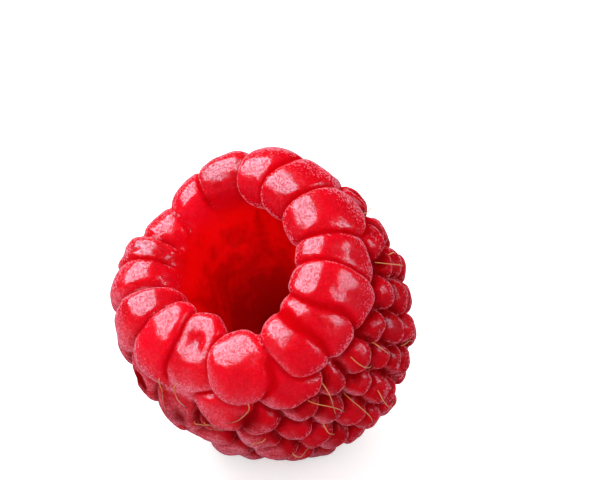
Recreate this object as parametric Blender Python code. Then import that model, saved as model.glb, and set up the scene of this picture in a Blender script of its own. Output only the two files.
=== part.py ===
"""A raspberry as picked: one hollow fruit that lies on its side, on the drupelets that carry it.

Metres, +Z up. The fruit lies on the XY plane, with the origin under the middle of its box, and the mouth of its
hollow looks along -Y and up. It is first made in a frame of its own, with +Z out of the mouth and the rim's
crest at zero, and is then leaned over and let down. The hollow is where the plant's core was.
"""

import math
import random

import bmesh
import bpy
from mathutils import Matrix, Vector

MM = 0.001

# The mouth of the hollow is an oval that lies a little off the axis.
MOUTH_RADIUS = 4.9 * MM
MOUTH_OVAL = 0.55 * MM
OVAL_SIDE = math.radians(128.0)
MOUTH_OFF = 0.7 * MM
OFF_SIDE = math.radians(45.0)

# The rim: long drupelets that arch over the edge of the hollow. Each is a blunt ball bent along an arch, whose
# outer leg stands at one radius, and whose inner end hangs over the hollow's wall.
RIM_HALF_THICKNESS = 1.58 * MM
RIM_OUTER_RADIUS = 8.85 * MM
RIM_OUTER_BULGE = 0.4 * MM
RIM_OUTER_KNEE = 0.34
RIM_CREST = 1.47 * MM
RIM_INNER_KNEE = 1.35 * MM
RIM_INNER_END = 0.68 * MM
RIM_FADING_END = 0.45 * MM
RIM_BLUNTNESS = 2.7
RIM_SQUARENESS = 3.2
RIM_OVERLAP = 1.2

# Each rim drupelet, going round: where it sits and how wide it is in degrees, how deep its outer and inner
# ends are in mm, how far it stands out in mm, the width and thickness of its inner end against its middle, and
# how far it is set in towards the axis in mm.
RIM_DRUPELETS = (
    (-14.0, 22.0, 5.76, 2.07, 0.14, 1.25, 1.00, 0.0),
    (4.5, 23.0, 5.76, 2.25, -0.23, 1.15, 0.90, 0.0),
    (27.5, 22.0, 5.76, 2.25, 0.14, 1.35, 1.00, 0.0),
    (53.0, 22.0, 5.58, 2.34, 0.18, 1.35, 1.00, 0.0),
    (73.0, 23.0, 5.40, 2.88, 0.14, 1.15, 0.85, 0.0),
    (100.0, 26.0, 5.22, 5.60, 0.00, 0.90, 0.40, 0.0),
    (122.5, 22.0, 4.86, 5.90, -0.09, 0.85, 0.38, 0.0),
    (144.5, 19.0, 4.86, 5.60, -0.05, 0.85, 0.38, 0.0),
    (163.0, 18.0, 4.86, 5.20, 0.45, 1.00, 0.40, 0.0),
    (181.5, 21.0, 5.22, 4.80, 0.14, 0.95, 0.42, 0.0),
    (205.0, 21.0, 5.20, 3.60, -0.30, 1.00, 0.60, 0.0),
    (229.0, 23.0, 4.40, 2.07, -0.70, 1.15, 0.90, 0.3),
    (254.5, 31.0, 3.70, 1.98, -1.25, 1.35, 0.95, 0.9),
    (283.5, 29.0, 3.60, 1.89, -0.20, 1.05, 0.95, 0.0),
    (314.0, 21.0, 3.96, 1.98, 0.05, 1.30, 0.95, 0.0),
    (329.0, 19.0, 4.86, 1.98, 0.09, 1.35, 0.95, 0.0),
)

# Single drupelets that push up between the rim's from below: outline angle and place in degrees, then width
# and length in mm.
SHOULDER_DRUPELETS = (
    (-14.0, 300.0, 3.9, 3.7),
    (-9.0, 269.0, 3.8, 3.2),
    (-5.0, 244.0, 3.4, 3.2),
    (-6.0, 222.0, 3.6, 3.6),
    (-9.0, 41.0, 3.1, 3.1),
    (-8.0, 18.0, 2.9, 2.9),
)

# The body below the rim: the outline on which its drupelets' centres sit, and the rows that they stand in.
BODY_RADIUS = 8.7 * MM
BODY_CENTRE_DEPTH = 7.4 * MM
BODY_DROP = 13.7 * MM
BODY_FULLNESS = 0.86
OUTLINE_STEP = 0.02
BODY_ROWS = 7
FIRST_ROW_ANGLE = math.radians(-4.0)
FIRST_ROW_TURN = math.radians(11.0)
DRUPELET_WIDTH = 2.9 * MM
DRUPELET_OVERLAP = 1.24
DRUPELET_DEPTH = 1.85 * MM
DRUPELET_LENGTH = 1.12
DRUPELET_LEAN = math.radians(20.0)
DRUPELET_SQUARENESS = 2.5
SMALL_SIDE = math.radians(-15.0)
SMALL_SHARE = 0.26
PLACE_SCATTER = 0.10
SIZE_SCATTER = 0.07
SEED = 11

# The flesh behind the drupelets, turned about the axis, with the hollow inside it.
FLESH_INSET = 0.4 * MM
FLESH_SHOULDER_RADIUS = 9.45 * MM
FLESH_SHOULDER_DEPTH = 4.7 * MM
FLESH_CREST_OUT = 2.05 * MM
FLESH_CREST_DEPTH = 1.05 * MM
FLESH_LIP_DEPTH = 2.7 * MM
HOLLOW_WALL_OUT = 0.8 * MM
HOLLOW_TAPER = 1.15
HOLLOW_END_RADIUS = 2.0 * MM
HOLLOW_DEPTH = 14.4 * MM
OVAL_DEPTH = 10.8 * MM
TURN_STEPS = 64

# On one side the hollow's wall is fuller, so the rim's drupelets run into it without a step.
FULL_SIDE = math.radians(165.0)
FULL_SPREAD = math.radians(62.0)
FULL_IN = 1.1 * MM
FULL_DEPTH = 4.6 * MM
FULL_REACH = 4.2 * MM

# One side of the rim is pressed in and lower, which fades out down the body.
PRESSED_SIDE = math.radians(143.0)
PRESSED_SPREAD = math.radians(36.0)
PRESSED_IN = 0.15
PRESSED_DOWN = 1.35 * MM
PRESSED_DEPTH = 12.6 * MM

# How it lies: the side that it lies on, how far the mouth looks up, and where the mouth's centre ends up. The
# drupelets that carry it are flattened where they meet the surface.
LIES_ON_SIDE = math.radians(-105.4)
MOUTH_RISE = math.radians(45.2)
MOUTH_CENTRE = (-0.23 * MM, -6.78 * MM, 18.8 * MM)
FLOOR_SIZE = 60.0 * MM

# The skin that joins all of it into one body.
VOXEL = 0.23 * MM
SMOOTHING = 2
TRIANGLE_SHARE = 0.078
SKIN_RED = (0.54, 0.006, 0.016, 1.0)
SKIN_ROUGHNESS = 0.32


def clear_scene():
    """Removes what a new file holds."""
    for obj in list(bpy.data.objects):
        bpy.data.objects.remove(obj)


def around(azimuth, radius, z):
    """A point at an azimuth, a radius and a height."""
    return Vector((radius * math.cos(azimuth), radius * math.sin(azimuth), z))


def mouth_radius(azimuth):
    """The radius of the hollow's mouth in one direction."""
    drawn = MOUTH_OVAL * math.cos(2 * (azimuth - OVAL_SIDE))
    return MOUTH_RADIUS + drawn + MOUTH_OFF * math.cos(azimuth - OFF_SIDE)


def body_outline(angle):
    """The body's outline as (radius, z): an ellipse, made a little fuller between its ends."""
    across = math.copysign(abs(math.cos(angle)) ** BODY_FULLNESS, math.cos(angle))
    down = math.copysign(abs(math.sin(angle)) ** BODY_FULLNESS, math.sin(angle))
    return Vector((BODY_RADIUS * across, -BODY_CENTRE_DEPTH - BODY_DROP * down))


def body_point(angle, azimuth):
    """A point of the body's outline, and the directions outwards and towards the tip there."""
    here = body_outline(angle)
    down = (body_outline(angle + OUTLINE_STEP) - body_outline(angle - OUTLINE_STEP)).normalized()
    outwards = around(azimuth, -down.y, down.x)
    return around(azimuth, here.x, here.y), outwards, around(azimuth, down.x, down.y)


def row_angles():
    """The outline's angle at each row, and the equal distance along the outline between rows."""
    steps = 400
    angles = [FIRST_ROW_ANGLE + (math.pi / 2 - FIRST_ROW_ANGLE) * k / steps for k in range(steps + 1)]
    runs = [0.0]
    for low, high in zip(angles, angles[1:]):
        runs.append(runs[-1] + (body_outline(high) - body_outline(low)).length)
    pitch = runs[-1] / BODY_ROWS
    rows = [next(angle for angle, run in zip(angles, runs) if run >= pitch * row) for row in range(BODY_ROWS)]
    return rows, pitch


def body_places():
    """(angle, azimuth, width, length) of each drupelet below the rim: rows, with smaller ones on one side."""
    scatter = random.Random(SEED)
    places = []
    turned = FIRST_ROW_TURN
    angles, pitch = row_angles()
    for angle in angles:
        girth = 2 * math.pi * BODY_RADIUS * math.cos(angle)
        count = max(3, round(girth / DRUPELET_WIDTH))
        turned += math.pi / count
        for k in range(count):
            even = turned + 2 * math.pi / count * (k + scatter.uniform(-PLACE_SCATTER, PLACE_SCATTER))
            azimuth = even - SMALL_SHARE * math.sin(even - SMALL_SIDE)
            width = girth / count * (1 - SMALL_SHARE * math.cos(even - SMALL_SIDE))
            drop = angle + scatter.uniform(-PLACE_SCATTER, PLACE_SCATTER) * pitch / BODY_DROP
            places.append((drop, azimuth, width, pitch))
    places.append((math.pi / 2, 0.0, DRUPELET_WIDTH, DRUPELET_WIDTH))
    for angle, place, width, length in SHOULDER_DRUPELETS:
        places.append((math.radians(angle), math.radians(place), width * MM, length * MM))
    return places


def add_ball(mesh):
    """Adds a unit ball and gives its vertices."""
    return bmesh.ops.create_icosphere(mesh, subdivisions=3, radius=1.0)["verts"]


def squared(part, power):
    """Moves a point of a ball out to the same direction's point of a squarer one."""
    return part * sum(abs(value) ** power for value in part) ** (-1 / power)


def add_body_drupelet(mesh, angle, azimuth, width, length, scatter):
    """A rounded drupelet on the body, leaning towards the tip."""
    centre, outwards, to_tip = body_point(angle, azimuth)
    sideways = to_tip.cross(outwards)
    lean = Matrix.Rotation(DRUPELET_LEAN * math.cos(angle), 3, sideways)
    size = 1.0 + scatter.uniform(-SIZE_SCATTER, SIZE_SCATTER)
    half_width = width / 2 * DRUPELET_OVERLAP * size
    half_length = length / 2 * DRUPELET_OVERLAP * DRUPELET_LENGTH * size
    axes = Matrix((sideways * half_width, to_tip * half_length, outwards * DRUPELET_DEPTH * size)).transposed()
    turn = lean @ axes
    for vert in add_ball(mesh):
        vert.co = centre + turn @ squared(vert.co, DRUPELET_SQUARENESS)


def arch(share, mouth, outer_depth, inner_depth, inner_thickness):
    """A point (radius, z) of a rim drupelet's middle line, and the direction out of the fruit there."""
    inner_end = RIM_INNER_END - RIM_FADING_END * (1 - inner_thickness)
    over_crest = (outer_depth * (1 + 3 * RIM_OUTER_KNEE) + inner_depth - 8 * RIM_CREST) / 3
    low = Vector((RIM_OUTER_RADIUS, -outer_depth))
    outer_knee = Vector((RIM_OUTER_RADIUS + RIM_OUTER_BULGE, -outer_depth * RIM_OUTER_KNEE))
    inner_knee = Vector((mouth + RIM_INNER_KNEE, over_crest))
    end = Vector((mouth + inner_end, -inner_depth))
    rest = 1 - share
    point = rest**3 * low + 3 * rest**2 * share * outer_knee + 3 * rest * share**2 * inner_knee + share**3 * end
    along = rest**2 * (outer_knee - low) + 2 * rest * share * (inner_knee - outer_knee)
    along = (along + share**2 * (end - inner_knee)).normalized()
    return point, Vector((along.y, -along.x))


def add_rim_drupelet(
    mesh, place, width, outer_depth, inner_depth, stands_out, inner_width, inner_thickness, inwards
):
    """A long drupelet, bent over the rim: the ball's Z runs along the arch, from its outer end to its inner."""
    azimuth = math.radians(place)
    half_angle = math.radians(width) / 2 * RIM_OVERLAP
    mouth = mouth_radius(azimuth) - inwards * MM
    for vert in add_ball(mesh):
        girth = (1 - min(1.0, abs(vert.co.z)) ** RIM_BLUNTNESS) ** (1 / RIM_BLUNTNESS)
        share = min(1.0, max(0.0, (vert.co.z + 1) / 2))
        section = Vector((vert.co.x, vert.co.y))
        if section.length > 0:
            section = squared(section.normalized(), RIM_SQUARENESS) * girth
        point, outwards = arch(share, mouth, outer_depth * MM, inner_depth * MM, inner_thickness)
        thickness = RIM_HALF_THICKNESS * (1 + (inner_thickness - 1) * share**2)
        point += outwards * (stands_out * MM * (1 - share) + section.y * thickness)
        turned = azimuth + section.x * half_angle * (1 + (inner_width - 1) * share)
        vert.co = around(turned, point.x, point.y)


def quarter(steps):
    """The sine and cosine of each step of a quarter turn, after its start."""
    return [(math.sin(math.pi / 2 * k / steps), math.cos(math.pi / 2 * k / steps)) for k in range(1, steps + 1)]


def flesh_outline():
    """The flesh's outline from its tip, up its outside, over the rim and down the hollow, as (radius, z)."""
    share = 1 - FLESH_INSET / BODY_RADIUS
    body = [body_outline(math.pi / 2 * (1 - k / 13)) for k in range(14)]
    points = [(here.x * share, (here.y + BODY_CENTRE_DEPTH) * share - BODY_CENTRE_DEPTH) for here in body]
    crest = MOUTH_RADIUS + FLESH_CREST_OUT
    wall = MOUTH_RADIUS + HOLLOW_WALL_OUT
    for rise, run in reversed(quarter(9)):
        radius = crest + (FLESH_SHOULDER_RADIUS - crest) * rise
        points.append((radius, -FLESH_SHOULDER_DEPTH + (FLESH_SHOULDER_DEPTH - FLESH_CREST_DEPTH) * run))
    for rise, run in quarter(5):
        points.append((crest + (wall - crest) * rise, -FLESH_LIP_DEPTH + (FLESH_LIP_DEPTH - FLESH_CREST_DEPTH) * run))
    for k in range(1, 10):
        depth = FLESH_LIP_DEPTH + (HOLLOW_DEPTH - FLESH_LIP_DEPTH - HOLLOW_END_RADIUS) * k / 9
        points.append((wall + (HOLLOW_END_RADIUS - wall) * (k / 9) ** HOLLOW_TAPER, -depth))
    for rise, run in quarter(4):
        points.append((HOLLOW_END_RADIUS * run, -HOLLOW_DEPTH + HOLLOW_END_RADIUS * (1 - rise)))
    return points


def fuller_wall(azimuth, radius, z):
    """How far the hollow's wall stands in on its fuller side."""
    round_off = math.remainder(azimuth - FULL_SIDE, 2 * math.pi) / FULL_SPREAD
    down_off = (z + FULL_DEPTH) / FULL_REACH
    inside = min(1.0, max(0.0, 2 * (MOUTH_RADIUS + FLESH_CREST_OUT - radius) / FLESH_CREST_OUT))
    return FULL_IN * math.exp(-round_off * round_off - down_off * down_off) * inside


def draw_mouth_out(vert):
    """Moves a vertex of the turned flesh to suit the mouth's oval, less so deeper down and further out."""
    radius = math.hypot(vert.co.x, vert.co.y)
    azimuth = math.atan2(vert.co.y, vert.co.x)
    inwards = (FLESH_SHOULDER_RADIUS - radius) / (FLESH_SHOULDER_RADIUS - MOUTH_RADIUS - FLESH_CREST_OUT)
    share = min(1.0, max(0.0, inwards)) * max(0.0, 1 + vert.co.z / OVAL_DEPTH)
    drawn = (mouth_radius(azimuth) - MOUTH_RADIUS) * share - fuller_wall(azimuth, radius, vert.co.z)
    vert.co = around(azimuth, radius + drawn, vert.co.z)


def add_flesh(mesh):
    """Turns the flesh's outline about the axis, then draws the mouth out to its oval."""
    verts = [mesh.verts.new((radius, 0.0, z)) for radius, z in flesh_outline()]
    edges = [mesh.edges.new(pair) for pair in zip(verts, verts[1:])]
    bmesh.ops.spin(
        mesh,
        geom=verts + edges,
        axis=(0, 0, 1),
        cent=(0, 0, 0),
        angle=2 * math.pi,
        steps=TURN_STEPS,
        use_merge=True,
    )
    bmesh.ops.remove_doubles(mesh, verts=mesh.verts, dist=1e-6)
    for vert in mesh.verts:
        draw_mouth_out(vert)
    bmesh.ops.recalc_face_normals(mesh, faces=mesh.faces)


def press_side(mesh):
    """Pushes one side of the rim in and down."""
    for vert in mesh.verts:
        azimuth = math.atan2(vert.co.y, vert.co.x)
        off = math.remainder(azimuth - PRESSED_SIDE, 2 * math.pi) / PRESSED_SPREAD
        share = math.exp(-off * off) * max(0.0, 1 + vert.co.z / PRESSED_DEPTH)
        vert.co.x *= 1 - PRESSED_IN * share
        vert.co.y *= 1 - PRESSED_IN * share
        vert.co.z -= PRESSED_DOWN * share


def lying_down():
    """The matrix that takes the fruit from its own frame to how it lies."""
    turned = Matrix.Rotation(-math.pi / 2 - LIES_ON_SIDE, 4, "Z")
    leaned = Matrix.Rotation(math.pi / 2 - MOUTH_RISE, 4, "X")
    return Matrix.Translation(MOUTH_CENTRE) @ leaned @ turned


def fruit_mesh():
    """Every drupelet and the flesh in one mesh, lying down."""
    mesh = bmesh.new()
    add_flesh(mesh)
    for drupelet in RIM_DRUPELETS:
        add_rim_drupelet(mesh, *drupelet)
    scatter = random.Random(SEED)
    for place in body_places():
        add_body_drupelet(mesh, *place, scatter)
    press_side(mesh)
    bmesh.ops.transform(mesh, matrix=lying_down(), verts=mesh.verts)
    made = bpy.data.meshes.new("raspberry")
    mesh.to_mesh(made)
    mesh.free()
    made.shade_smooth()
    return made


def skin_material():
    """The red skin."""
    material = bpy.data.materials.new("raspberry_skin")
    material.use_nodes = True
    shader = material.node_tree.nodes["Principled BSDF"]
    shader.inputs["Base Color"].default_value = SKIN_RED
    shader.inputs["Roughness"].default_value = SKIN_ROUGHNESS
    shader.inputs["Metallic"].default_value = 0.0
    return material


def floor_cutter():
    """A block that fills the space under the surface that the fruit lies on."""
    mesh = bmesh.new()
    bmesh.ops.create_cube(mesh, size=FLOOR_SIZE)
    bmesh.ops.translate(mesh, vec=(0, 0, -FLOOR_SIZE / 2), verts=mesh.verts)
    made = bpy.data.meshes.new("floor_cutter")
    mesh.to_mesh(made)
    mesh.free()
    cutter = bpy.data.objects.new("floor_cutter", made)
    cutter.hide_render = True
    cutter.display_type = "WIRE"
    bpy.context.scene.collection.objects.link(cutter)
    return cutter


def add_skin(fruit):
    """Joins the drupelets and the flesh under one skin, and flattens what the fruit lies on."""
    join = fruit.modifiers.new("join_drupelets", "REMESH")
    join.mode = "VOXEL"
    join.voxel_size = VOXEL
    join.use_smooth_shade = True
    smooth = fruit.modifiers.new("soften_creases", "SMOOTH")
    smooth.iterations = SMOOTHING
    thin = fruit.modifiers.new("fewer_faces", "DECIMATE")
    thin.ratio = TRIANGLE_SHARE
    flatten = fruit.modifiers.new("flatten_underside", "BOOLEAN")
    flatten.operation = "DIFFERENCE"
    flatten.solver = "EXACT"
    flatten.object = floor_cutter()


def main():
    """Builds the fruit."""
    clear_scene()
    fruit = bpy.data.objects.new("raspberry", fruit_mesh())
    bpy.context.scene.collection.objects.link(fruit)
    fruit.data.materials.append(skin_material())
    add_skin(fruit)


main()
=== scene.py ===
"""The looks of a picked raspberry that lies on its side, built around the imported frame.

The fruit is one skin over its drupelets and its flesh. It is first made in a frame of its own, with +Z out of the
mouth of the hollow and the rim's crest at zero, and is then leaned over and let down on the surface. The dry
styles that stand out of its creases are small pieces of their own. Metres throughout.
"""

import logging
import random
from collections.abc import Callable
from dataclasses import dataclass, field
from enum import Enum
from math import atan2, copysign, cos, exp, hypot, pi, radians, remainder, sin

import bmesh
import bpy
import numpy as np
from bmesh.types import BMesh, BMFace, BMLayerItem, BMVert
from bpy.types import Material, Mesh, Node, NodeSocket, NodeTree, Object
from mathutils import Matrix, Vector, noise
from mathutils.bvhtree import BVHTree

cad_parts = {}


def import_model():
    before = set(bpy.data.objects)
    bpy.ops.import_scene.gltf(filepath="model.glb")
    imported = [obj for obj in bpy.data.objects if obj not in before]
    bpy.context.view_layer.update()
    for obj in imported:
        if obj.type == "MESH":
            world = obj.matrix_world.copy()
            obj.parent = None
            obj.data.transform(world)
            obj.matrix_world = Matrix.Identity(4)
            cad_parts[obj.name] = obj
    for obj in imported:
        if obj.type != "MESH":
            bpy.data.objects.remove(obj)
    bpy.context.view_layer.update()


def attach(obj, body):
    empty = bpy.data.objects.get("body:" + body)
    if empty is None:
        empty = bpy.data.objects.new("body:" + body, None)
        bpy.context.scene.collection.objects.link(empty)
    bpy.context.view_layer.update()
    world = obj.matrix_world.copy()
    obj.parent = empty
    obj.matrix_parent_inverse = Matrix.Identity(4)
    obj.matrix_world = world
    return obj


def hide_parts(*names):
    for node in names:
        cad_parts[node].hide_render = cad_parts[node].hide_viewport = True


LOG = logging.getLogger("raspberry")
MM = 0.001
ROOT = "root"
CAD_FRUIT = "raspberry"

Two = tuple[float, float]
Three = tuple[float, float, float]
Four = tuple[float, float, float, float]
Colour = Four


class Slot(Enum):
    """The record's material slots."""

    SKIN = "berry_skin"
    STYLES = "dried_styles"


class Trace(Enum):
    """The values that the skin's vertices carry for its material."""

    CREASE = "crease"
    CLEFT = "cleft"
    TONE = "tone"
    HOLLOW = "hollow"
    LOW = "low"
    # Where painted bounce light from the floor goes into the skin's colour.
    BLOOM = "painted_bounce"
    WALL = "wall"
    ALONG = "along"


def around(azimuth: float, radius: float, z: float) -> Vector:
    """Gives a point at an azimuth, a radius and a height."""
    return Vector((radius * cos(azimuth), radius * sin(azimuth), z))


def squared(part: Vector, power: float) -> Vector:
    """Moves a point of a ball out to the same direction's point of a squarer one."""
    return part * sum(abs(value) ** power for value in part) ** (-1 / power)


def rise(value: np.ndarray, low: float, high: float) -> np.ndarray:
    """Gives a smooth step from 0 at low to 1 at high."""
    share = np.clip((value - low) / (high - low), 0.0, 1.0)
    return share * share * (3 - 2 * share)


def link_mesh(name: str, mesh: BMesh) -> Object:
    """Makes a smooth-shaded object of a finished bmesh, and frees the bmesh."""
    data = bpy.data.meshes.new(name)
    mesh.to_mesh(data)
    mesh.free()
    data.shade_smooth()
    made = bpy.data.objects.new(name, data)
    bpy.context.scene.collection.objects.link(made)
    return made


@dataclass(frozen=True)
class Mouth:
    """The mouth of the hollow: an oval that lies a little off the axis."""

    radius: float = 4.9 * MM
    oval: float = 0.55 * MM
    oval_side: float = radians(128.0)
    off: float = 0.7 * MM
    off_side: float = radians(45.0)

    def radius_at(self, azimuth: float | np.ndarray, cosine: Callable = cos) -> float | np.ndarray:
        """Gives the mouth's radius in one direction, or in many with numpy's cosine."""
        drawn = self.oval * cosine(2 * (azimuth - self.oval_side))
        return self.radius + drawn + self.off * cosine(azimuth - self.off_side)


@dataclass(frozen=True)
class Lie:
    """How the fruit lies: its pressed side, the side that it rests on, and how far its mouth looks up."""

    pressed_side: float = radians(143.0)
    pressed_spread: float = radians(36.0)
    pressed_in: float = 0.15
    pressed_down: float = 1.35 * MM
    pressed_depth: float = 12.6 * MM
    lies_on_side: float = radians(-105.4)
    mouth_rise: float = radians(45.2)
    mouth_centre: Three = (-0.23 * MM, -6.78 * MM, 18.8 * MM)

    def matrix(self) -> Matrix:
        """Gives the matrix that takes the fruit from its own frame to how it lies."""
        turned = Matrix.Rotation(-pi / 2 - self.lies_on_side, 4, "Z")
        leaned = Matrix.Rotation(pi / 2 - self.mouth_rise, 4, "X")
        return Matrix.Translation(self.mouth_centre) @ leaned @ turned

    def pressed(self, point: Vector) -> Vector:
        """Gives where a point ends up once one side of the rim is pushed in and down, less so down the body."""
        off = remainder(atan2(point.y, point.x) - self.pressed_side, 2 * pi) / self.pressed_spread
        share = exp(-off * off) * max(0.0, 1 + point.z / self.pressed_depth)
        slimmer = 1 - self.pressed_in * share
        return Vector((point.x * slimmer, point.y * slimmer, point.z - self.pressed_down * share))


@dataclass(frozen=True)
class Outline:
    """The outline on which the body's drupelets are centred: an ellipse, made a little fuller between its ends."""

    radius: float = 8.7 * MM
    centre_depth: float = 7.4 * MM
    drop: float = 13.7 * MM
    fullness: float = 0.86
    step: float = 0.02

    def at(self, angle: float) -> Vector:
        """Gives the outline's (radius, z) at an angle down from its widest place."""
        across, down = (copysign(abs(part) ** self.fullness, part) for part in (cos(angle), sin(angle)))
        return Vector((self.radius * across, -self.centre_depth - self.drop * down))

    def place(self, angle: float, azimuth: float) -> tuple[Vector, Vector, Vector]:
        """Finds a point of the outline and the directions there.

        Args:
            angle: The outline's angle.
            azimuth: The direction from the axis.

        Returns:
            The point, the direction outwards and the direction towards the tip.
        """
        here = self.at(angle)
        down = (self.at(angle + self.step) - self.at(angle - self.step)).normalized()
        return around(azimuth, here.x, here.y), around(azimuth, -down.y, down.x), around(azimuth, down.x, down.y)


@dataclass
class Unevenness:
    """How far a drupelet strays from a smooth ball: broad swells, small dents, and flats where others press it.

    The swells and dents are shares of its size, and a flat is cut at a share of its radius.
    """

    swell: float = 0.10
    swell_scale: float = 1.2
    dent: float = 0.035
    dent_scale: float = 2.8
    flats: int = 5
    flat_at: float = 0.93
    flatness: float = 0.8
    cuts: dict[float, list[Vector]] = field(default_factory=dict)

    def flats_of(self, seed: float) -> list[Vector]:
        """Gives the directions of one drupelet's flats."""
        if seed not in self.cuts:
            scatter = random.Random(seed)
            ways = [Vector([scatter.gauss(0, 1) for _ in range(3)]) for _ in range(self.flats)]
            self.cuts[seed] = [way.normalized() for way in ways]
        return self.cuts[seed]

    def share(self, point: Vector, seed: float, wrinkle: float = 1.0) -> float:
        """Finds the share by which a drupelet's point moves out.

        Args:
            point: A point of the unit ball.
            seed: The drupelet's own number.
            wrinkle: How much deeper its swells and dents are than others'.

        Returns:
            The share, which is 1 where nothing moves it.
        """
        off = Vector((seed * 7.3, -seed * 3.1, seed * 5.7))
        broad = noise.noise(point * self.swell_scale + off) * self.swell
        share = 1.0 + wrinkle * (broad + noise.noise(point * self.dent_scale - off) * self.dent)
        for way in self.flats_of(seed):
            reach = point.dot(way)
            if reach > self.flat_at:
                share *= 1 - self.flatness * (1 - self.flat_at / reach)
        return share


@dataclass(frozen=True)
class LongDrupelet:
    """One drupelet of the rim.

    Its place and width are in degrees. Its outer and inner ends' depth, how far it stands out, how far it is set
    in towards the axis and its dimple's depth are in mm. The width and thickness of its inner end are shares of
    its middle's.
    """

    place: float
    width: float
    outer_depth: float
    inner_depth: float
    stands_out: float
    inner_width: float
    inner_thickness: float
    inwards: float = 0.0
    wrinkle: float = 1.0
    dimple: float = 0.0


@dataclass
class Rim:
    """The long drupelets that arch over the edge of the hollow: blunt balls bent along an arch."""

    mouth: Mouth
    unevenness: Unevenness
    half_thickness: float = 1.58 * MM
    outer_radius: float = 8.85 * MM
    outer_bulge: float = 0.4 * MM
    outer_knee: float = 0.34
    crest: float = 1.47 * MM
    inner_knee: float = 1.35 * MM
    inner_end: float = 0.68 * MM
    fading_end: float = 0.45 * MM
    bluntness: float = 2.7
    squareness: float = 3.2
    overlap: float = 1.2
    dimple_at: float = 0.25
    dimple_width: float = 0.33
    dimple_length: float = 0.19
    drupelets: tuple[LongDrupelet, ...] = tuple(LongDrupelet(*row) for row in (
        (-14, 22, 5.76, 2.07, 0.14, 1.25, 1),
        (4.5, 23, 5.76, 2.25, -0.23, 1.15, 0.9),
        (27.5, 22, 5.76, 2.25, 0.14, 1.35, 1),
        (53, 22, 5.58, 2.34, 0.18, 1.35, 1),
        (73, 23, 5.4, 2.88, 0.14, 1.15, 0.85),
        (100, 26, 5.22, 5.6, 0, 0.9, 0.4),
        (122.5, 22, 4.86, 5.9, -0.09, 0.85, 0.38),
        (144.5, 19, 4.86, 5.6, -0.05, 0.85, 0.38),
        (163, 18, 4.86, 5.2, 0.45, 1, 0.4, 0, 3),
        (181.5, 21, 5.22, 4.8, 0.14, 0.95, 0.42, 0, 1.6),
        (205, 21, 5.2, 3.6, -0.3, 1, 0.6),
        (229, 23, 4.4, 2.07, -0.7, 1.15, 0.9, 0.3),
        (254.5, 31, 3.7, 1.98, -1.25, 1.35, 0.95, 0.9, 1, 0.55),
        (283.5, 29, 3.6, 1.89, -0.2, 1.05, 0.95),
        (314, 21, 3.96, 1.98, 0.05, 1.3, 0.95),
        (329, 19, 4.86, 1.98, 0.09, 1.35, 0.95),
    ))

    def arch(self, share: float, mouth: float, kind: LongDrupelet) -> tuple[Vector, Vector]:
        """Finds a point of a drupelet's middle line.

        Args:
            share: How far along the line, from its outer end to its inner.
            mouth: The mouth's radius there.
            kind: The drupelet.

        Returns:
            The point and the direction out of the fruit there, both as (radius, z).
        """
        outer_depth, inner_depth = kind.outer_depth * MM, kind.inner_depth * MM
        inner_end = self.inner_end - self.fading_end * (1 - kind.inner_thickness)
        over_crest = (outer_depth * (1 + 3 * self.outer_knee) + inner_depth - 8 * self.crest) / 3
        low = Vector((self.outer_radius, -outer_depth))
        outer = Vector((self.outer_radius + self.outer_bulge, -outer_depth * self.outer_knee))
        inner = Vector((mouth + self.inner_knee, over_crest))
        end = Vector((mouth + inner_end, -inner_depth))
        rest = 1 - share
        point = rest**3 * low + 3 * rest**2 * share * outer + 3 * rest * share**2 * inner + share**3 * end
        along = rest**2 * (outer - low) + 2 * rest * share * (inner - outer) + share**2 * (end - inner)
        along.normalize()
        return point, Vector((along.y, -along.x))

    def bend(self, verts: list[BMVert], kind: LongDrupelet, seed: float) -> None:
        """Bends a unit ball over the rim: its Z runs along the arch, from its outer end to its inner."""
        azimuth = radians(kind.place)
        half_angle = radians(kind.width) / 2 * self.overlap
        mouth = self.mouth.radius_at(azimuth) - kind.inwards * MM
        for vert in verts:
            girth = (1 - min(1.0, abs(vert.co.z)) ** self.bluntness) ** (1 / self.bluntness)
            share = min(1.0, max(0.0, (vert.co.z + 1) / 2))
            section = Vector((vert.co.x, vert.co.y))
            uneven = self.unevenness.share(vert.co, seed, kind.wrinkle)
            if section.length > 0:
                section = squared(section.normalized(), self.squareness) * girth * uneven
            dimple = kind.dimple * MM * exp(-(((vert.co.z - self.dimple_at) / self.dimple_length) ** 2))
            dimple *= exp(-((vert.co.x / self.dimple_width) ** 2)) * (vert.co.y > 0)
            point, outwards = self.arch(share, mouth, kind)
            thickness = self.half_thickness * (1 + (kind.inner_thickness - 1) * share**2)
            point += outwards * (kind.stands_out * MM * (1 - share) + section.y * thickness - dimple)
            turned = azimuth + section.x * half_angle * (1 + (kind.inner_width - 1) * share)
            vert.co = around(turned, point.x, point.y)


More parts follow.
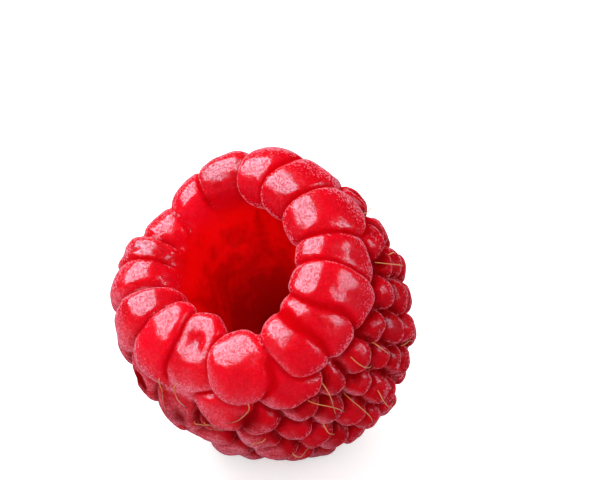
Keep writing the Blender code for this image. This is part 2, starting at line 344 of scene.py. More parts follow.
@dataclass
class Body:
    """The rows of rounded drupelets below the rim, each of which leans over the next towards the tip."""

    outline: Outline
    unevenness: Unevenness
    rows: int = 7
    first_row_angle: float = radians(-4.0)
    first_row_turn: float = radians(11.0)
    width: float = 2.9 * MM
    overlap: float = 1.24
    depth: float = 1.85 * MM
    lengthening: float = 1.12
    lean: float = radians(20.0)
    squareness: float = 2.5
    small_side: float = radians(-15.0)
    small_share: float = 0.26
    place_scatter: float = 0.10
    size_scatter: float = 0.07
    seed: int = 11
    first_seed: int = 40
    shoulders: tuple[Four, ...] = (
        (-14, 300, 3.9, 3.7),
        (-9, 269, 3.8, 3.2),
        (-5, 244, 3.4, 3.2),
        (-6, 222, 3.6, 3.6),
        (-9, 41, 3.1, 3.1),
        (-8, 18, 2.9, 2.9),
    )

    def row_angles(self) -> tuple[list[float], float]:
        """Gives the outline's angle at each row, and the equal distance along it between rows."""
        steps = 400
        reach = pi / 2 - self.first_row_angle
        angles = [self.first_row_angle + reach * k / steps for k in range(steps + 1)]
        runs = [0.0]
        for low, high in zip(angles, angles[1:]):
            runs.append(runs[-1] + (self.outline.at(high) - self.outline.at(low)).length)
        pitch = runs[-1] / self.rows
        return [next(a for a, run in zip(angles, runs) if run >= pitch * row) for row in range(self.rows)], pitch

    def places(self) -> list[Four]:
        """Gives the angle, azimuth, width and length of each drupelet, with smaller ones on one side."""
        scatter = random.Random(self.seed)
        places = []
        turned = self.first_row_turn
        angles, pitch = self.row_angles()
        for angle in angles:
            girth = 2 * pi * self.outline.radius * cos(angle)
            count = max(3, round(girth / self.width))
            turned += pi / count
            for k in range(count):
                even = turned + 2 * pi / count * (k + scatter.uniform(-self.place_scatter, self.place_scatter))
                azimuth = even - self.small_share * sin(even - self.small_side)
                width = girth / count * (1 - self.small_share * cos(even - self.small_side))
                drop = angle + scatter.uniform(-self.place_scatter, self.place_scatter) * pitch / self.outline.drop
                places.append((drop, azimuth, width, pitch))
        places.append((pi / 2, 0.0, self.width, self.width))
        for angle, place, width, length in self.shoulders:
            places.append((radians(angle), radians(place), width * MM, length * MM))
        return places

    def shape(self, verts: list[BMVert], place: Four, scatter: random.Random, seed: float) -> None:
        """Turns a unit ball into a drupelet on the body.

        Args:
            verts: The ball's vertices.
            place: The drupelet's angle, azimuth, width and length.
            scatter: What its size strays by.
            seed: What its unevenness starts from.
        """
        angle, azimuth, width, length = place
        centre, outwards, to_tip = self.outline.place(angle, azimuth)
        sideways = to_tip.cross(outwards)
        lean = Matrix.Rotation(self.lean * cos(angle), 3, sideways)
        size = 1.0 + scatter.uniform(-self.size_scatter, self.size_scatter)
        half_width = width / 2 * self.overlap * size
        half_length = length / 2 * self.overlap * self.lengthening * size
        axes = Matrix((sideways * half_width, to_tip * half_length, outwards * self.depth * size)).transposed()
        turn = lean @ axes
        for vert in verts:
            uneven = self.unevenness.share(vert.co, seed)
            vert.co = centre + turn @ (squared(vert.co, self.squareness) * uneven)


@dataclass
class Flesh:
    """The flesh behind the drupelets, turned about the axis, with the hollow inside it."""

    mouth: Mouth
    outline: Outline
    inset: float = 0.4 * MM
    shoulder_radius: float = 9.45 * MM
    shoulder_depth: float = 4.7 * MM
    crest_out: float = 2.05 * MM
    crest_depth: float = 1.05 * MM
    lip_depth: float = 2.7 * MM
    wall_out: float = 0.8 * MM
    taper: float = 1.15
    end_radius: float = 2.0 * MM
    depth: float = 14.4 * MM
    oval_depth: float = 10.8 * MM
    full_side: float = radians(165.0)
    full_spread: float = radians(62.0)
    full_in: float = 1.1 * MM
    full_depth: float = 4.6 * MM
    full_reach: float = 4.2 * MM
    steps: int = 96
    body_steps: int = 13
    shoulder_steps: int = 9
    lip_steps: int = 5
    wall_steps: int = 18
    end_steps: int = 4

    @staticmethod
    def quarter(steps: int) -> list[Two]:
        """Gives the sine and cosine of each step of a quarter turn, after its start."""
        return [(sin(pi / 2 * k / steps), cos(pi / 2 * k / steps)) for k in range(1, steps + 1)]

    def points(self) -> list[Two]:
        """Gives the outline from the tip, up the outside, over the rim and down the hollow, as (radius, z)."""
        share = 1 - self.inset / self.outline.radius
        middle = self.outline.centre_depth
        steps, deep = self.wall_steps, self.depth - self.lip_depth - self.end_radius
        body = [self.outline.at(pi / 2 * (1 - k / self.body_steps)) for k in range(self.body_steps + 1)]
        points = [(here.x * share, (here.y + middle) * share - middle) for here in body]
        crest = self.mouth.radius + self.crest_out
        wall = self.mouth.radius + self.wall_out
        for sine, cosine in reversed(self.quarter(self.shoulder_steps)):
            radius = crest + (self.shoulder_radius - crest) * sine
            points.append((radius, -self.shoulder_depth + (self.shoulder_depth - self.crest_depth) * cosine))
        for sine, cosine in self.quarter(self.lip_steps):
            z = -self.lip_depth + (self.lip_depth - self.crest_depth) * cosine
            points.append((crest + (wall - crest) * sine, z))
        for k in range(1, steps + 1):
            radius = wall + (self.end_radius - wall) * (k / steps) ** self.taper
            points.append((radius, -self.lip_depth - deep * k / steps))
        for sine, cosine in self.quarter(self.end_steps):
            points.append((self.end_radius * cosine, -self.depth + self.end_radius * (1 - sine)))
        return points

    def draw_mouth_out(self, vert: BMVert) -> None:
        """Moves a vertex to suit the mouth's oval, less so deeper down and further out."""
        radius = hypot(vert.co.x, vert.co.y)
        azimuth = atan2(vert.co.y, vert.co.x)
        inwards = (self.shoulder_radius - radius) / (self.shoulder_radius - self.mouth.radius - self.crest_out)
        share = min(1.0, max(0.0, inwards)) * max(0.0, 1 + vert.co.z / self.oval_depth)
        drawn = (self.mouth.radius_at(azimuth) - self.mouth.radius) * share
        round_off = remainder(azimuth - self.full_side, 2 * pi) / self.full_spread
        down_off = (vert.co.z + self.full_depth) / self.full_reach
        inside = max(0.0, min(1.0, (self.mouth.radius + self.crest_out - radius) / self.crest_out * 2))
        drawn -= self.full_in * exp(-round_off * round_off - down_off * down_off) * inside
        vert.co = around(azimuth, radius + drawn, vert.co.z)

    def build(self) -> BMesh:
        """Turns the outline about the axis, then draws the mouth out to its oval."""
        mesh = bmesh.new()
        verts = [mesh.verts.new((radius, 0.0, z)) for radius, z in self.points()]
        edges = [mesh.edges.new(pair) for pair in zip(verts, verts[1:])]
        turn = {"axis": (0, 0, 1), "cent": (0, 0, 0), "angle": 2 * pi, "steps": self.steps}
        bmesh.ops.spin(mesh, geom=verts + edges, use_merge=True, **turn)
        bmesh.ops.remove_doubles(mesh, verts=mesh.verts, dist=1e-6)
        for vert in mesh.verts:
            self.draw_mouth_out(vert)
        bmesh.ops.recalc_face_normals(mesh, faces=mesh.faces)
        return mesh


@dataclass
class SkinShape:
    """The one skin over the drupelets and the flesh, and what its vertices know of the fruit."""

    mouth: Mouth = Mouth()
    outline: Outline = Outline()
    lie: Lie = Lie()
    unevenness: Unevenness = field(default_factory=Unevenness)
    voxel: float = 0.19 * MM
    smoothing: int = 1
    ball_levels: int = 4
    crease_width: float = 0.17 * MM
    crease_push: float = 0.20 * MM
    cleft_width: float = 0.46 * MM
    cleft_push: float = 0.18 * MM
    reach: float = 0.75 * MM
    furrow_width: float = 0.38 * MM
    furrow_push: float = 0.16 * MM
    ripples: tuple[Two, ...] = ((1.3 * MM, 0.075 * MM), (0.6 * MM, 0.016 * MM))
    furrow_from: Two = (1.0 * MM, 3.0 * MM)
    cleft_from: Two = (2.4 * MM, 5.2 * MM)
    hollow_from: Two = (3.6 * MM, 11.5 * MM)
    low_from: Two = (2.8 * MM, 6.8 * MM)
    wall_from: Two = (1.5 * MM, 4.0 * MM)
    lip: Two = (0.5 * MM, 2.0 * MM)
    # Painted bounce light: the side, facing down to the floor, whose skin is coloured paler as if lit from below.
    painted_bounce_side: Three = (-0.40, -0.55, -0.73)
    painted_bounce_from: Two = (0.25, 0.90)
    seed: int = 5
    balls: list[BMesh] = field(default_factory=list)

    def ball(self) -> list[BMVert]:
        """Adds a unit ball and gives its vertices."""
        mesh = bmesh.new()
        bmesh.ops.create_icosphere(mesh, subdivisions=self.ball_levels, radius=1.0)
        self.balls.append(mesh)
        return list(mesh.verts)

    def build_balls(self) -> None:
        """Shapes every drupelet of the rim and the body, in the fruit's own frame."""
        rim = Rim(self.mouth, self.unevenness)
        body = Body(self.outline, self.unevenness)
        for count, kind in enumerate(rim.drupelets):
            rim.bend(self.ball(), kind, float(count))
        scatter = random.Random(body.seed)
        for count, place in enumerate(body.places()):
            body.shape(self.ball(), place, scatter, float(body.first_seed + count))

    def lay_down(self, mesh: BMesh) -> None:
        """Presses one part of the fruit and takes it to how the fruit lies."""
        for vert in mesh.verts:
            vert.co = self.lie.pressed(vert.co)
        bmesh.ops.transform(mesh, matrix=self.lie.matrix(), verts=mesh.verts)

    def fuse(self) -> Object:
        """Joins the drupelets and the flesh under one skin, which keeps no modifiers."""
        self.build_balls()
        flesh = Flesh(self.mouth, self.outline).build()
        loose = bmesh.new()
        for mesh in [flesh, *self.balls]:
            self.lay_down(mesh)
            part = bpy.data.meshes.new("part")
            mesh.to_mesh(part)
            loose.from_mesh(part)
            bpy.data.meshes.remove(part)
        flesh.free()
        fruit = link_mesh("raspberry_skin", loose)
        join = fruit.modifiers.new("join_drupelets", "REMESH")
        join.mode = "VOXEL"
        join.voxel_size = self.voxel
        join.use_smooth_shade = True
        soften = fruit.modifiers.new("soften_creases", "SMOOTH")
        soften.iterations = self.smoothing
        shown = fruit.evaluated_get(bpy.context.evaluated_depsgraph_get())
        joined = bpy.data.meshes.new_from_object(shown)
        raw = fruit.data
        fruit.modifiers.clear()
        fruit.data = joined
        bpy.data.meshes.remove(raw)
        joined.name = fruit.name
        return fruit

    def near_drupelets(self, points: np.ndarray) -> tuple[np.ndarray, np.ndarray]:
        """Finds each point's nearest two drupelets.

        Args:
            points: The skin's vertices.

        Returns:
            The nearest drupelet's number, or -1 past the reach, and the distance to the second nearest.
        """
        number = np.full(len(points), -1)
        first = np.full(len(points), self.reach)
        second = np.full(len(points), self.reach)
        for count, mesh in enumerate(self.balls):
            corners = np.array([vert.co[:] for vert in mesh.verts])
            low, high = corners.min(0) - self.reach, corners.max(0) + self.reach
            close = np.flatnonzero(np.all((points > low) & (points < high), axis=1))
            tree = BVHTree.FromBMesh(mesh)
            for index in close:
                found = tree.find_nearest(points[index], self.reach)
                if found[3] is None:
                    continue
                if found[3] < first[index]:
                    second[index] = first[index]
                    first[index] = found[3]
                    number[index] = count
                elif found[3] < second[index]:
                    second[index] = found[3]
            mesh.free()
        self.balls.clear()
        return number, second

    def furrow(self, own: np.ndarray) -> np.ndarray:
        """Finds how close each point is to a furrow that runs down the hollow's wall from between two drupelets."""
        radius = np.hypot(own[:, 0], own[:, 1])
        azimuth = np.arctan2(own[:, 1], own[:, 0])
        scatter = random.Random(self.seed)
        close = np.zeros(len(own))
        for kind in Rim(self.mouth, self.unevenness).drupelets:
            between = radians(kind.place + kind.width / 2)
            strength, ends = scatter.uniform(0.5, 1.0), scatter.uniform(6.5, 10.5) * MM
            off = np.remainder(azimuth - between + pi, 2 * pi) - pi
            run = (1 - rise(-own[:, 2], ends / 2, ends)) * strength * (np.abs(off) < 1)
            close = np.maximum(close, np.exp(-((off * radius / self.furrow_width) ** 2)) * run)
        return close

    def ripple(self, points: np.ndarray) -> np.ndarray:
        """Gives how far small ripples move each point out."""
        moved = np.zeros(len(points))
        for length, height in self.ripples:
            moved += [noise.noise(Vector(point) / length) * height for point in points]
        return moved

    def build(self) -> Object:
        """Builds the skin, ripples it, deepens its creases, flattens its underside and marks its vertices."""
        fruit = self.fuse()
        data = fruit.data
        points, normals = self.read(data, "co"), self.read(data, "normal")
        number, second = self.near_drupelets(points)
        own, inside = self.in_own_frame(points)
        crease = np.exp(-((second / self.crease_width) ** 2)) * (number >= 0)
        furrow = self.furrow(own) * inside * rise(-own[:, 2], *self.furrow_from) * (number < 0)
        cleft = np.exp(-((second / self.cleft_width) ** 2)) * (number >= 0) * rise(-own[:, 2], *self.cleft_from)
        cleft *= 1 - inside
        pushed = crease * self.crease_push + furrow * self.furrow_push + cleft * self.cleft_push
        points = points - normals * (pushed - self.ripple(points))[:, None]
        points[:, 2] = np.maximum(points[:, 2], 0.0)
        data.vertices.foreach_set("co", points.ravel())
        data.update()
        own, inside = self.in_own_frame(points)
        scatter = random.Random(self.seed)
        tones = np.array([scatter.uniform(0, 1) for _ in range(int(number.max()) + 1)] + [0.5])
        # Painted bounce light: how far each vertex faces down towards the floor.
        painted_bounce = rise(normals @ np.array(self.painted_bounce_side), *self.painted_bounce_from)
        for trace, values in (
            (Trace.CREASE, crease),
            (Trace.TONE, tones[number]),
            (Trace.HOLLOW, inside * rise(-own[:, 2], *self.hollow_from)),
            (Trace.CLEFT, np.maximum(cleft, furrow)),
            (Trace.LOW, rise(-own[:, 2], *self.low_from) * (1 - inside)),
            (Trace.BLOOM, painted_bounce * (1 - inside)),
            (Trace.WALL, inside * rise(-own[:, 2], *self.wall_from)),
        ):
            layer = data.attributes.new(trace.value, "FLOAT", "POINT")
            layer.data.foreach_set("value", values.astype(np.float32))
        return fruit

    @staticmethod
    def read(data: Mesh, name: str) -> np.ndarray:
        """Gives one vector of each of a mesh's vertices: where it is, or its normal."""
        values = np.empty(len(data.vertices) * 3)
        data.vertices.foreach_get(name, values)
        return values.reshape(-1, 3)

    def in_own_frame(self, points: np.ndarray) -> tuple[np.ndarray, np.ndarray]:
        """Takes points to the fruit's own frame, and finds how far each is inside the mouth, from 0 to 1."""
        back = np.array(self.lie.matrix().inverted())
        own = points @ back[:3, :3].T + back[:3, 3]
        mouth = self.mouth.radius_at(np.arctan2(own[:, 1], own[:, 0]), np.cos)
        return own, 1 - rise(np.hypot(own[:, 0], own[:, 1]) - mouth, *self.lip)


class Graph:
    """Adds nodes to a node tree and joins them up."""

    def __init__(self, tree: NodeTree) -> None:
        """Starts on a tree."""
        self.tree = tree

    def feed(self, node: Node, inputs: dict) -> Node:
        """Gives each named or numbered socket of a node a value, or another node's output."""
        for name, value in inputs.items():
            if isinstance(value, NodeSocket):
                self.tree.links.new(value, node.inputs[name])
            else:
                node.inputs[name].default_value = value
        return node

    def add(self, kind: str, inputs: dict | None = None, **settings) -> Node:
        """Adds a node.

        Args:
            kind: The node's type.
            inputs: What its sockets are fed.
            **settings: The node's own properties.

        Returns:
            The node.
        """
        node = self.tree.nodes.new(kind)
        for name, value in settings.items():
            setattr(node, name, value)
        return self.feed(node, inputs or {})

    def noise(self, coordinates: NodeSocket, scale: object, detail: float) -> NodeSocket:
        """Gives a noise's value, from 0 to 1, at so many patches a metre."""
        return self.add("ShaderNodeTexNoise", {"Vector": coordinates, "Scale": scale, "Detail": detail}).outputs[0]

    def spread(self, value: NodeSocket, *span: float) -> NodeSocket:
        """Maps a value from one range to another: from low, from high, to low, to high."""
        names = ("From Min", "From Max", "To Min", "To Max")
        return self.add("ShaderNodeMapRange", {"Value": value, **dict(zip(names, span))}).outputs[0]

    def math(self, operation: str, first: object, *others: object) -> NodeSocket:
        """Takes a value and others together, one after another."""
        for other in others:
            first = self.add("ShaderNodeMath", {0: first, 1: other}, operation=operation).outputs[0]
        return first

    def plus(self, *values: object) -> NodeSocket:
        """Adds values up."""
        return self.math("ADD", *values)

    def times(self, *values: object) -> NodeSocket:
        """Multiplies values."""
        return self.math("MULTIPLY", *values)

    def mix(self, share: object, first: object, second: object) -> NodeSocket:
        """Gives a mix of two colours."""
        return self.add("ShaderNodeMix", {0: share, 6: first, 7: second}, data_type="RGBA").outputs[2]

    def bump(self, strength: float, distance: float, height: NodeSocket) -> NodeSocket:
        """Gives the skin's direction over small bumps."""
        return self.add("ShaderNodeBump", {"Strength": strength, "Distance": distance, "Height": height}).outputs[0]

    def attribute(self, trace: Trace) -> NodeSocket:
        """Gives a value that the vertices carry."""
        return self.add("ShaderNodeAttribute", attribute_name=trace.value).outputs["Fac"]


def start_material(name: str) -> tuple[Material, Graph, Node]:
    """Gives a new material, its nodes and its main shader."""
    material = bpy.data.materials.new(name)
    material.use_nodes = True
    return material, Graph(material.node_tree), material.node_tree.nodes["Principled BSDF"]


@dataclass(frozen=True)
class FineUnevenness:
    """The unevenness that the skin and the threads share: a mottle, a finer grain, and the height of the two."""

    name: str = "fine_unevenness"
    detail: float = 3.0
    mottle_height: float = 0.6

    def group(self) -> NodeTree:
        """Gives the node group, built when first asked for."""
        if self.name in bpy.data.node_groups:
            return bpy.data.node_groups[self.name]
        tree = bpy.data.node_groups.new(self.name, "ShaderNodeTree")
        tree.interface.new_socket("Coordinates", in_out="INPUT", socket_type="NodeSocketVector")
        for label in ("Mottle Scale", "Grain Scale"):
            tree.interface.new_socket(label, in_out="INPUT", socket_type="NodeSocketFloat")
        for label in ("Mottle", "Grain", "Height"):
            tree.interface.new_socket(label, in_out="OUTPUT", socket_type="NodeSocketFloat")
        graph = Graph(tree)
        given = graph.add("NodeGroupInput").outputs
        mottle = graph.noise(given["Coordinates"], given["Mottle Scale"], self.detail)
        grain = graph.noise(given["Coordinates"], given["Grain Scale"], self.detail)
        height = graph.plus(grain, graph.times(mottle, self.mottle_height))
        graph.add("NodeGroupOutput", {"Mottle": mottle, "Grain": grain, "Height": height})
        return tree

    def outputs(self, graph: Graph, mottle_scale: float, grain_scale: float) -> bpy.types.bpy_prop_collection:
        """Adds the group to a material, with so many patches and specks a metre, and gives its outputs."""
        at = graph.add("ShaderNodeTexCoord").outputs["Object"]
        given = {"Coordinates": at, "Mottle Scale": mottle_scale, "Grain Scale": grain_scale}
        return graph.add("ShaderNodeGroup", given, node_tree=self.group()).outputs


@dataclass(frozen=True)
class SkinFinish:
    """Ripe skin: red and translucent, with painted shade in its creases, clefts and deep in its hollow, a painted glow
    at the hollow's rim, and fine pale down whose colour is painted as sheen and as bounce light.
    """

    ripe: Colour = (0.68, 0.001, 0.012, 1.0)
    deep: Colour = (0.48, 0.001, 0.006, 1.0)
    body: Colour = (0.33, 0.001, 0.004, 1.0)
    # Painted shade: darker colours for the creases between drupelets, and darker still for the clefts and furrows.
    crease: Colour = (0.46, 0.001, 0.001, 1.0)
    cleft: Colour = (0.17, 0.0008, 0.002, 1.0)
    # Painted glow on the hollow's wall, and painted shade further in.
    wall: Colour = (0.84, 0.0008, 0.0008, 1.0)
    hollow_shade: Colour = (0.47, 0.0008, 0.0008, 1.0)
    down: Colour = (0.92, 0.20, 0.27, 1.0)
    down_speck_and_glint: Colour = (0.95, 0.008, 0.026, 1.0)
    patch_scale: float = 420.0
    mottle_scale: float = 1900.0
    grain_scale: float = 6200.0
    bump_height: float = 0.1 * MM
    glow_depth: float = 2.2 * MM
    gloss_roughness: float = 0.21
    ior: float = 1.42

    def build(self) -> Material:
        """Builds the material."""
        material, graph, shader = start_material("ripe_skin")
        plus, times, mix, spread, read = graph.plus, graph.times, graph.mix, graph.spread, graph.attribute
        crease, cleft, tone, low, wall = map(read, (Trace.CREASE, Trace.CLEFT, Trace.TONE, Trace.LOW, Trace.WALL))
        at = graph.add("ShaderNodeTexCoord").outputs["Object"]
        patches = graph.noise(at, self.patch_scale, 3.0)
        fine = FineUnevenness().outputs(graph, self.mottle_scale, self.grain_scale)
        mottle, grain = fine["Mottle"], fine["Grain"]

        # The flesh: each drupelet has a tone of its own, and they get deeper down the body.
        uneven = plus(times(patches, 0.6), times(mottle, 0.4), times(tone, 0.4))
        colour = mix(spread(uneven, 0.45, 0.95, 0.0, 1.0), self.ripe, self.deep)
        darker = times(spread(tone, 0.0, 1.0, 0.6, 1.1), spread(low, 0.4, 1.0, 0.0, 0.85))
        colour = mix(darker, colour, self.body)
        # Painted shade: the creases between drupelets, and the clefts and furrows, are coloured darker where shade
        # falls.
        colour = mix(times(crease, 0.7), colour, self.crease)
        colour = mix(times(cleft, 0.9), colour, self.cleft)

        # The hollow: a painted glow at its rim, a brighter colour that stands in for light coming through the thin
        # flesh, and painted shade in its furrows and further in, blotched.
        colour = mix(times(wall, 0.85), colour, mix(times(cleft, 0.5), self.wall, self.hollow_shade))
        blotches = plus(patches, spread(mottle, 0.3, 0.7, -0.08, 0.08))
        painted_shade_in_hollow = plus(read(Trace.HOLLOW), spread(blotches, 0.36, 0.64, -0.34, 0.34))
        colour = mix(times(spread(painted_shade_in_hollow, 0.1, 0.9, 0.0, 1.0), wall), colour, self.hollow_shade)

        # Brighter specks on the open skin, kept out of the creases, the hollow and the lower body: partly the down's
        # own paleness, partly painted glints.
        speck_free = plus(crease, wall, times(low, 0.3))
        specks = times(spread(grain, 0.50, 0.66, 0.0, 0.30), spread(speck_free, 0.0, 0.5, 1.0, 0.0))
        colour = mix(specks, colour, self.down_speck_and_glint)

        # The down: its pale colour painted as sheen where the skin turns away from the view, and as painted bounce
        # light from the floor on the side that faces down.
        edge = graph.add("ShaderNodeLayerWeight", {"Blend": 0.5}).outputs["Facing"]
        painted_down_sheen = plus(edge, spread(grain, 0.35, 0.65, -0.26, 0.26), spread(low, 0.0, 1.0, 0.09, 0.0))
        painted_bounce = times(read(Trace.BLOOM), spread(uneven, 0.42, 0.72, 0.0, 1.0))
        painted_bounce = times(painted_bounce, spread(grain, 0.42, 0.60, 0.35, 1.0), spread(edge, 0.15, 0.60, 0.25, 1.0))
        painted_down_sheen = graph.math("MAXIMUM", spread(painted_down_sheen, 0.69, 1.0, 0.0, 1.0), painted_bounce)
        painted_down_sheen = times(painted_down_sheen, spread(crease, 0.0, 0.7, 1.0, 0.0), spread(cleft, 0.0, 1.0, 1.0, 0.3))
        painted_down_sheen = times(painted_down_sheen, spread(wall, 0.0, 0.8, 1.0, 0.0))

        # The gloss: broken up by the grain, and none down in the creases.
        wet = times(spread(grain, 0.39, 0.58, 0.26, 1.0), spread(crease, 0.0, 0.5, 1.0, 0.0))
        wet = times(wet, spread(cleft, 0.0, 0.7, 1.0, 0.0), spread(low, 0.0, 1.0, 1.0, 0.7))
        values = {
            "Base Color": mix(painted_down_sheen, colour, self.down),
            "Roughness": plus(spread(mottle, 0.3, 0.7, 0.24, 0.34), times(crease, 0.4)),
            "Normal": graph.bump(0.8, self.bump_height, fine["Height"]),
            "Coat Weight": wet,
            "Coat Roughness": self.gloss_roughness,
            "Coat IOR": self.ior,
            "IOR": self.ior,
            "Specular IOR Level": 0.0,
            "Subsurface Weight": 0.9,
            "Subsurface Radius": (1.0, 0.03, 0.03),
            "Subsurface Scale": self.glow_depth,
        }
        graph.feed(shader, values)
        return material


@dataclass(frozen=True)
class StyleFinish:
    """A dry thread: golden at its root, brown further out, with a nearly black end."""

    root: Colour = (0.66, 0.21, 0.05, 1.0)
    middle: Colour = (0.44, 0.11, 0.03, 1.0)
    end: Colour = (0.05, 0.015, 0.01, 1.0)
    mottle_scale: float = 5000.0
    grain_scale: float = 9000.0
    bump_height: float = 0.02 * MM
    glow_depth: float = 0.1 * MM

    def build(self) -> Material:
        """Builds the material."""
        material, graph, shader = start_material("dry_style")
        fine = FineUnevenness().outputs(graph, self.mottle_scale, self.grain_scale)
        mottle = fine["Mottle"]
        place = graph.plus(graph.attribute(Trace.ALONG), graph.spread(mottle, 0.3, 0.7, -0.12, 0.12))
        colour = graph.mix(graph.spread(place, 0.1, 0.8, 0.0, 1.0), self.root, self.middle)
        values = {
            "Base Color": graph.mix(graph.spread(place, 0.86, 0.96, 0.0, 1.0), colour, self.end),
            "Roughness": graph.spread(mottle, 0.3, 0.7, 0.35, 0.55),
            "Normal": graph.bump(0.5, self.bump_height, fine["Height"]),
            "Subsurface Weight": 0.2,
            "Subsurface Radius": (1.0, 0.5, 0.2),
            "Subsurface Scale": self.glow_depth,
        }
        graph.feed(shader, values)
        return material


@dataclass(frozen=True)
class FloorFinish:
    """A plain pale floor that throws little light back up, and in which the fruit's shadow stays pale."""

    seen: Colour = (0.92, 0.92, 0.92, 1.0)
    thrown: Colour = (0.35, 0.35, 0.35, 1.0)
    mirrored: Colour = (0.07, 0.05, 0.08, 1.0)
    glow: Colour = (0.50, 0.50, 0.50, 1.0)

    def build(self) -> Material:
        """Builds the material."""
        material, graph, shader = start_material("pale_floor")
        ray = graph.add("ShaderNodeLightPath").outputs
        colour = graph.mix(ray["Is Glossy Ray"], self.thrown, self.mirrored)
        values = {
            "Base Color": graph.mix(ray["Is Camera Ray"], colour, self.seen),
            "Emission Color": graph.mix(ray["Is Camera Ray"], (0.0, 0.0, 0.0, 1.0), self.glow),
            "Emission Strength": 1.0,
            "Roughness": 0.8,
            "Specular IOR Level": 0.1,
        }
        graph.feed(shader, values)
        return material


@dataclass(frozen=True)
class Thread:
    """One dry style.

    Its root's place in degrees and depth in mm, its heading in degrees from the tip's direction, its length in mm,
    how far it turns along its length in degrees, and how steeply it leaves the skin in degrees.
    """

    place: float
    depth: float
    heading: float
    length: float
    turn: float
    lift: float


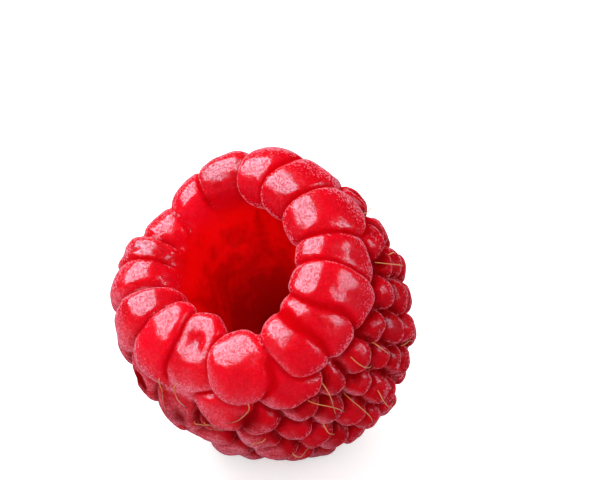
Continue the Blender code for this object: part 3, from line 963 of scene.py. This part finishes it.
@dataclass
class Styles:
    """The dry styles that stand out of the creases, each a thin thread that lies over the skin."""

    lie: Lie
    skin: Object
    radius: float = 0.043 * MM
    tip_share: float = 0.75
    steps: int = 14
    sides: int = 6
    clearance: float = 0.10 * MM
    buried: float = 0.5 * MM
    settle: float = radians(9.0)
    settle_rate: float = 6
    far: float = 20.0 * MM
    hold: float = 3
    smoothing: int = 3
    scattered: int = 34
    seed: int = 23
    placed: tuple[Thread, ...] = (
        Thread(-121, 1.9, -12, 4, 30, 20),
        Thread(-111, 2.1, -50, 3.2, 140, 15),
        Thread(-78, 2.6, 0, 3.5, -125, 15),
        Thread(-108, 5.6, 95, 1.7, -10, 20),
        Thread(-103.6, 5.5, 105, 2.2, -20, 20),
        Thread(-82, 8.3, -90, 1.7, 15, 20),
        Thread(-79, 12, 10, 3, 40, 20),
        Thread(-33, 4.9, -8, 2.6, 45, 25),
        Thread(-48.5, 4.4, -6, 4.6, -14, 25),
        Thread(-45, 9.4, 0, 5.4, 10, 25),
        Thread(-58.5, 5.3, 35, 4.4, -25, 25),
        Thread(-59, 8.8, -8, 4.2, 12, 25),
        Thread(-33.5, 10.9, -30, 4.2, 70, 25),
        Thread(-22, 6.7, 8, 2.6, -10, 30),
        Thread(-10, 13.2, 50, 2, -30, 30),
        Thread(9.5, 4.9, 5, 4.4, 25, 30),
        Thread(32, 4.7, 25, 3, 10, 30),
        Thread(15, 6.4, 35, 2.4, -20, 30),
    )

    def threads(self) -> list[Thread]:
        """Gives every thread: the placed ones, and others scattered over the rest of the body."""
        scatter = random.Random(self.seed)
        found = list(self.placed)
        for count in range(self.scattered):
            place = 35.0 + 170.0 * (count + scatter.uniform(0.1, 0.9)) / self.scattered
            depth = scatter.uniform(5.0, 17.0)
            turn = scatter.choice((-1, 1)) * scatter.uniform(10.0, 90.0)
            length = scatter.uniform(2.2, 4.8)
            found.append(Thread(place, depth, scatter.uniform(-40.0, 40.0), length, turn, scatter.uniform(15.0, 30.0)))
        return found

    def path(self, thread: Thread, tree: BVHTree) -> list[Vector]:
        """Finds a thread's way over the skin.

        Args:
            thread: The thread.
            tree: The skin's faces.

        Returns:
            The points that the thread follows, from inside the crease to its end.
        """
        matrix = self.lie.matrix()
        turn = matrix.to_3x3()
        azimuth = radians(thread.place)
        inwards = turn @ around(azimuth, -1.0, 0.0)
        start = matrix @ around(azimuth, self.far, -thread.depth * MM)
        root, normal = tree.ray_cast(start, inwards)[:2]
        if root is None:
            return []
        outwards = -inwards
        tip = turn @ Vector((0.0, 0.0, -1.0))
        sideways = turn @ around(azimuth + pi / 2, 1.0, 0.0)
        stride = thread.length * MM / self.steps
        heading = radians(thread.heading)
        rising = radians(thread.lift)
        points = [root - outwards * self.buried, root]
        here = root
        for _ in range(self.steps):
            flat = tip * cos(heading) + sideways * sin(heading)
            here = here + (flat * cos(rising) + outwards * sin(rising)) * stride
            near, up = tree.find_nearest(here)[:2]
            if (here - near).dot(up) < self.clearance:
                here = near + up * self.clearance
            outwards = (outwards * self.hold + up).normalized()
            tip = (tip - outwards * tip.dot(outwards)).normalized()
            sideways = outwards.cross(tip) * copysign(1.0, outwards.cross(tip).dot(sideways))
            heading += radians(thread.turn) / self.steps
            rising -= self.settle / self.steps * self.settle_rate
            points.append(here)
        for _ in range(self.smoothing):
            middle = [(a + b * 2 + c) / 4 for a, b, c in zip(points, points[1:], points[2:])]
            points = [points[0], *middle, points[-1]]
        return points

    def draw(self, mesh: BMesh, along: BMLayerItem, points: list[Vector]) -> None:
        """Draws one thread: a small disc, pushed on from point to point.

        Args:
            mesh: Where the thread is added.
            along: The layer that holds how far along its thread each vertex is.
            points: The points that the thread follows.
        """
        ring = bmesh.ops.create_circle(mesh, cap_ends=True, segments=self.sides, radius=1.0)["verts"]
        flat = [vert.co.copy() for vert in ring]
        face = ring[0].link_faces[0]
        for count, point in enumerate(points):
            if count:
                pushed = bmesh.ops.extrude_face_region(mesh, geom=[face])["geom"]
                face = next(part for part in pushed if isinstance(part, BMFace))
                ring = list(face.verts)
            behind, ahead = points[max(0, count - 1)], points[min(len(points) - 1, count + 1)]
            turn = (ahead - behind).to_track_quat("Z", "Y").to_matrix()
            share = count / (len(points) - 1)
            radius = self.radius * (1 - (1 - self.tip_share) * share)
            for vert, spot in zip(ring, flat):
                vert.co = point + turn @ (spot * radius)
                vert[along] = share

    def build(self) -> Object:
        """Builds every thread in one piece."""
        faces = bmesh.new()
        faces.from_mesh(self.skin.data)
        tree = BVHTree.FromBMesh(faces)
        faces.free()
        mesh = bmesh.new()
        along = mesh.verts.layers.float.new(Trace.ALONG.value)
        for thread in self.threads():
            points = self.path(thread, tree)
            if points and min(point.z for point in points) > self.radius:
                self.draw(mesh, along, points)
        bmesh.ops.recalc_face_normals(mesh, faces=mesh.faces)
        made = link_mesh("dried_styles", mesh)
        made.data.materials.append(StyleFinish().build())
        return made


@dataclass(frozen=True)
class SoftLight:
    """One soft light: how bright it is, its size in metres, and where it stands.

    Its place is how far it is to the right, up and to the front, in metres, as someone at the camera sees it. A
    light that isn't mirrored lightens the fruit without a highlight, as one that is bounced off a dull wall does. One
    that doesn't lighten makes a highlight alone.
    """

    name: str
    brightness: float
    size: Two
    place: Three
    colour: Three = (1.0, 1.0, 1.0)
    mirrored: bool = True
    lightens: bool = True

    def power(self) -> float:
        """Gives the power in watts that makes a surface of this size so bright."""
        return self.brightness * pi * self.size[0] * self.size[1]


@dataclass
class Studio:
    """A pale floor, soft lights and the camera."""

    lie: Lie
    floor_size: float = 3.0
    camera_side: float = radians(28.4)
    camera_rise: float = radians(24.0)
    camera_distance: float = 0.198
    lens: float = 165.6
    aim_right: float = 6.0 * MM
    aim_up: float = 1.55 * MM
    world: float = 0.78
    lit: Three = (0.0, 0.0, 0.012)
    lights: tuple[SoftLight, ...] = (
        SoftLight("key", 3.1, (0.50, 0.40), (-0.20, 0.42, 0.16), mirrored=False),
        SoftLight("key_gloss", 16.5, (0.87, 0.64), (-0.28, 0.38, 0.20), (0.30, 0.8, 1.0), lightens=False),
        SoftLight("right_gloss", 10.5, (0.44, 0.46), (0.50, 0.08, 0.16), (0.30, 0.8, 1.0), lightens=False),
        SoftLight("fill", 2.8, (0.50, 0.50), (0.02, -0.10, 0.50), mirrored=False),
    )

    def camera_axes(self) -> tuple[Vector, Vector, Vector]:
        """Gives the camera's right, up and backward directions."""
        side, up = self.camera_side, self.camera_rise
        back = Vector((sin(side) * cos(up), -cos(side) * cos(up), sin(up)))
        right = Vector((cos(side), sin(side), 0.0))
        return right, back.cross(right), back

    def add_camera(self) -> None:
        """Puts the camera where the mouth of the hollow looks into it from the left."""
        right, up, back = self.camera_axes()
        aim = Vector(self.lie.mouth_centre) + right * self.aim_right + up * self.aim_up
        data = bpy.data.cameras.new("camera")
        data.lens = self.lens
        data.clip_start = 0.01
        data.dof.use_dof = False
        camera = bpy.data.objects.new("camera", data)
        turn = Matrix((right, up, back)).transposed().to_4x4()
        camera.matrix_world = Matrix.Translation(aim + back * self.camera_distance) @ turn
        bpy.context.scene.collection.objects.link(camera)
        bpy.context.scene.camera = camera

    def add_lights(self) -> None:
        """Sets the lights round the fruit, each turned to its middle."""
        axes = Matrix(self.camera_axes()).transposed()
        for light in self.lights:
            data = bpy.data.lights.new(light.name, "AREA")
            data.shape = "RECTANGLE"
            data.size, data.size_y = light.size
            data.energy = light.power()
            data.color = light.colour
            off = axes @ Vector(light.place)
            made = bpy.data.objects.new(light.name, data)
            made.location = Vector(self.lit) + off
            made.visible_glossy = light.mirrored
            made.visible_diffuse = light.lightens
            made.rotation_euler = off.to_track_quat("Z", "Y").to_euler()
            bpy.context.scene.collection.objects.link(made)

    def add_floor(self) -> None:
        """Lays the floor."""
        mesh = bmesh.new()
        bmesh.ops.create_grid(mesh, x_segments=1, y_segments=1, size=self.floor_size / 2)
        floor = link_mesh("floor", mesh)
        floor.data.materials.append(FloorFinish().build())

    def add_world(self) -> None:
        """Makes an even pale world."""
        world = bpy.data.worlds.new("pale_world")
        world.use_nodes = True
        values = {"Color": (1.0, 1.0, 1.0, 1.0), "Strength": self.world}
        Graph(world.node_tree).feed(world.node_tree.nodes["Background"], values)
        bpy.context.scene.world = world
        world.cycles_visibility.glossy = False

    def build(self) -> None:
        """Sets up the studio."""
        self.add_camera()
        self.add_lights()
        self.add_floor()
        self.add_world()
        bpy.context.scene.view_settings.view_transform = "Standard"


def main() -> None:
    """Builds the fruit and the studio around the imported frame."""
    logging.basicConfig(level=logging.INFO, format="%(message)s")
    shape = SkinShape()
    fruit = shape.build()
    fruit.data.materials.clear()
    fruit.data.materials.append(SkinFinish().build())
    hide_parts(CAD_FRUIT)
    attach(fruit, ROOT)
    LOG.info("%s: %d faces", fruit.name, len(fruit.data.polygons))
    styles = Styles(shape.lie, fruit).build()
    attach(styles, ROOT)
    LOG.info("%s: %d faces", styles.name, len(styles.data.polygons))
    Studio(shape.lie).build()


if __name__ == "__main__":
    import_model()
    main()
